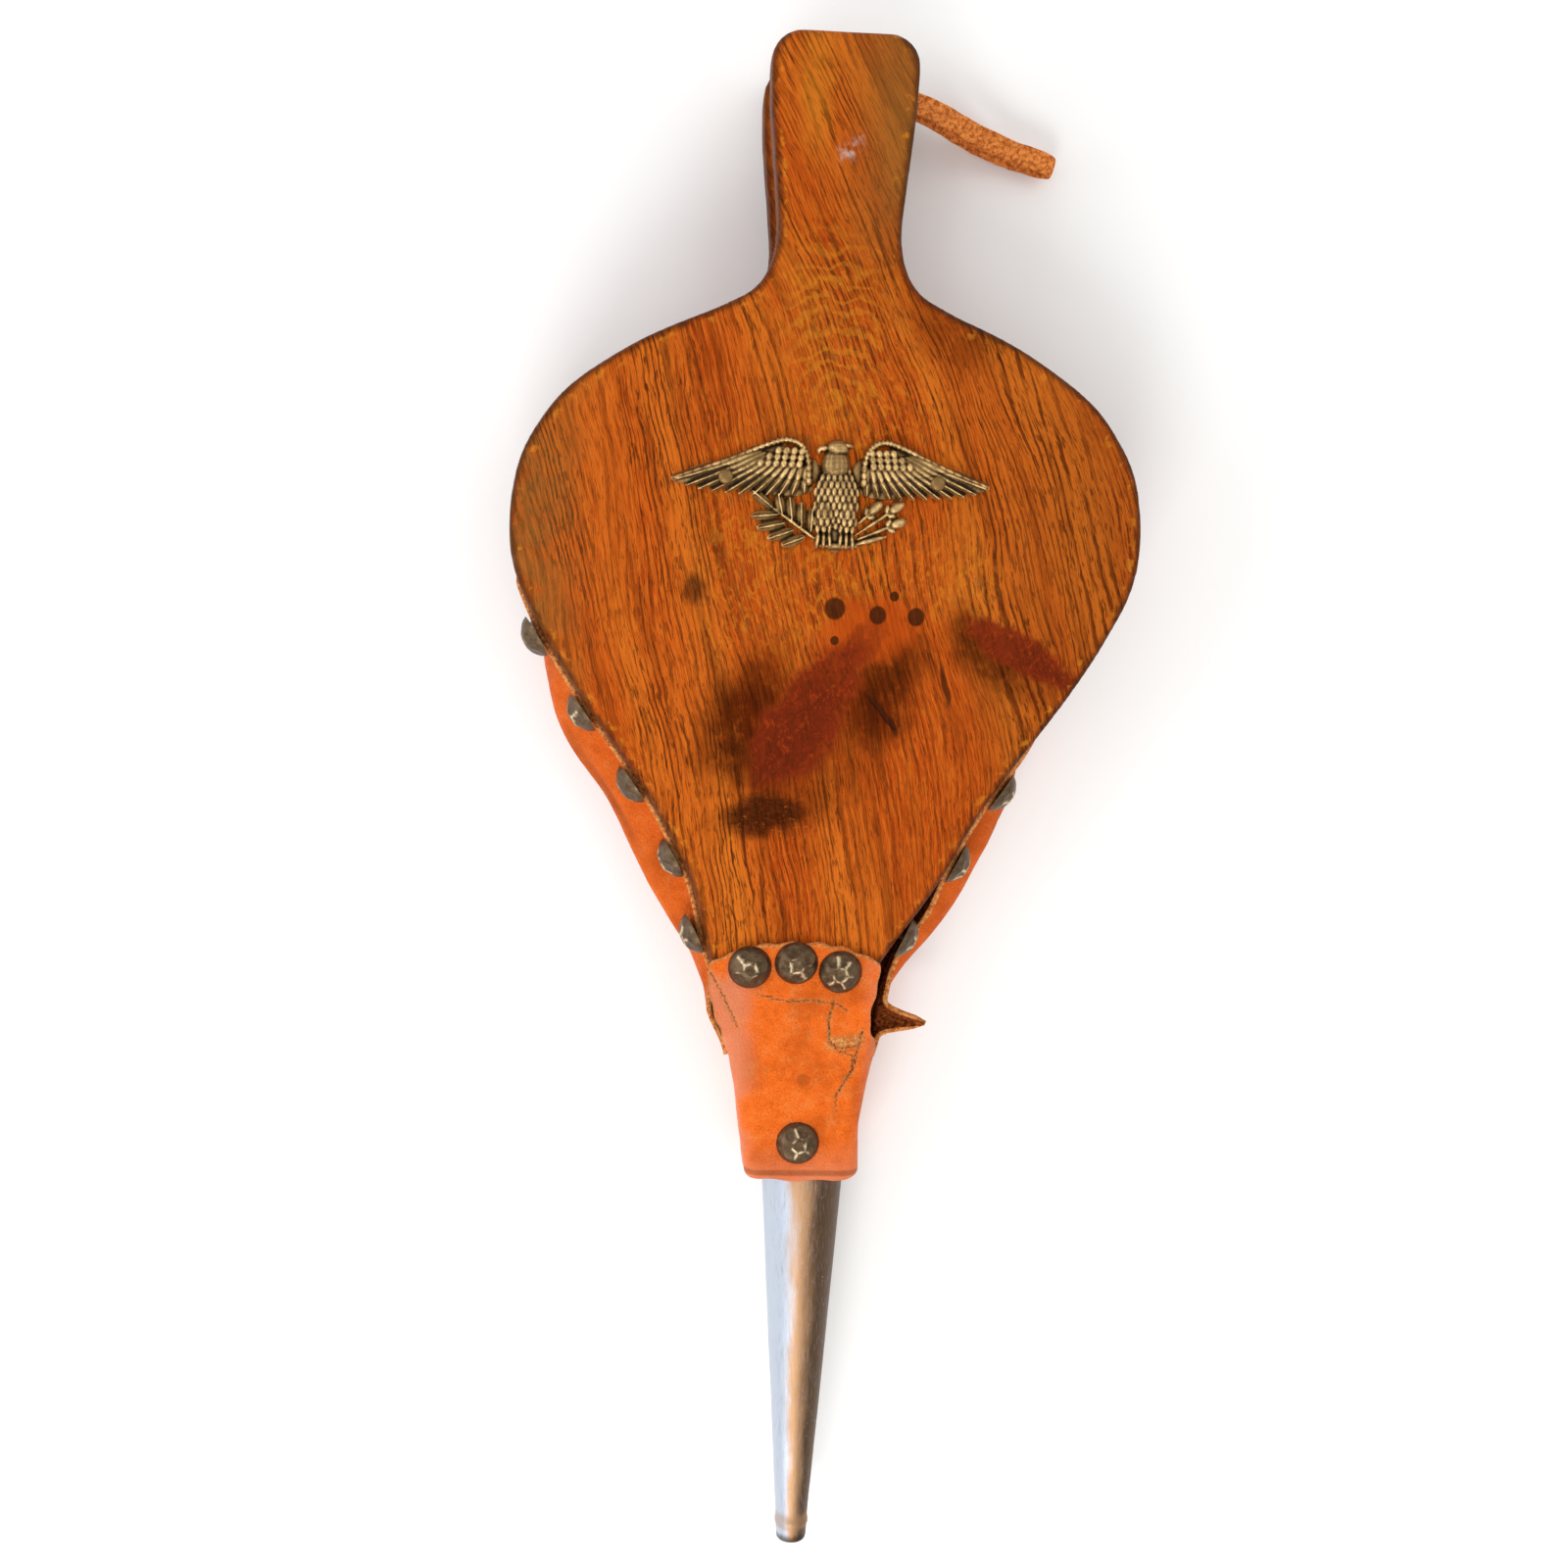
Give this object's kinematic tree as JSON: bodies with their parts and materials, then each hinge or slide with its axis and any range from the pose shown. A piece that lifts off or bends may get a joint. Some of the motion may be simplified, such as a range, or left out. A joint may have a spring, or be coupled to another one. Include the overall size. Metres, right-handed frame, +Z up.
{
  "type": "hand bellows",
  "caption": "Hearth hand bellows: two pear-shaped wooden boards with handles, a leather gusset, a tapered metal nozzle, an intake valve, hammered nails and a brass bird ornament.",
  "frame": {"origin": "middle of the length and width of the object, on the surface that the lower board lies on", "axes": "+Y from the nozzle's mouth to the ends of the handles, +Z up from the lower board to the upper board, +X across"},
  "size_m": [0.1742, 0.432, 0.0506],
  "materials": {
    "wood": "satin",
    "wood_dark": "satin",
    "leather": "semi-matt",
    "suede": "matt, napped",
    "nail_metal": "hammered, dark antique",
    "nozzle_metal": "aged and scratched",
    "brass": "antique, dark in the recesses"
  },
  "bodies": {
    "lower": {"lower_board": "wood_dark", "nose_block": "wood_dark", "block_brads": "nail_metal", "nozzle": "nozzle_metal", "gusset": "leather", "flange_lower": "leather", "nose_collar": "leather", "collar_nail": "nail_metal", "collar_tacks": "nail_metal", "lower_nails_left": "nail_metal", "lower_nails_right": "nail_metal", "flange_tacks_lower": "nail_metal", "valve_strip": "leather", "valve_tacks": "nail_metal", "hanging_thong": "suede", "thong_knot": "suede"},
    "upper": {"upper_board": "wood", "gusset_upper_margin": "leather", "flange_upper": "leather", "collar_flap": "leather", "flap_nails": "nail_metal", "upper_nails_left": "nail_metal", "upper_nails_right": "nail_metal", "flange_tacks_upper": "nail_metal", "ornament": "brass", "ornament_pins": "brass"},
    "valve": {"valve_flap": "leather", "valve_disc": "wood"}
  },
  "joints": [
    {"name": "board_hinge", "type": "hinge", "parent": "lower", "child": "upper", "pos_m": [0, -0.058, 0.0315], "axis": [1, 0, 0], "range_deg": [0, 20], "deforming": ["gusset"]},
    {"name": "valve_hinge", "type": "hinge", "parent": "lower", "child": "valve", "pos_m": [0, 0.089, 0.0135], "axis": [-1, 0, 0], "range_deg": [0, 15]}
  ]
}
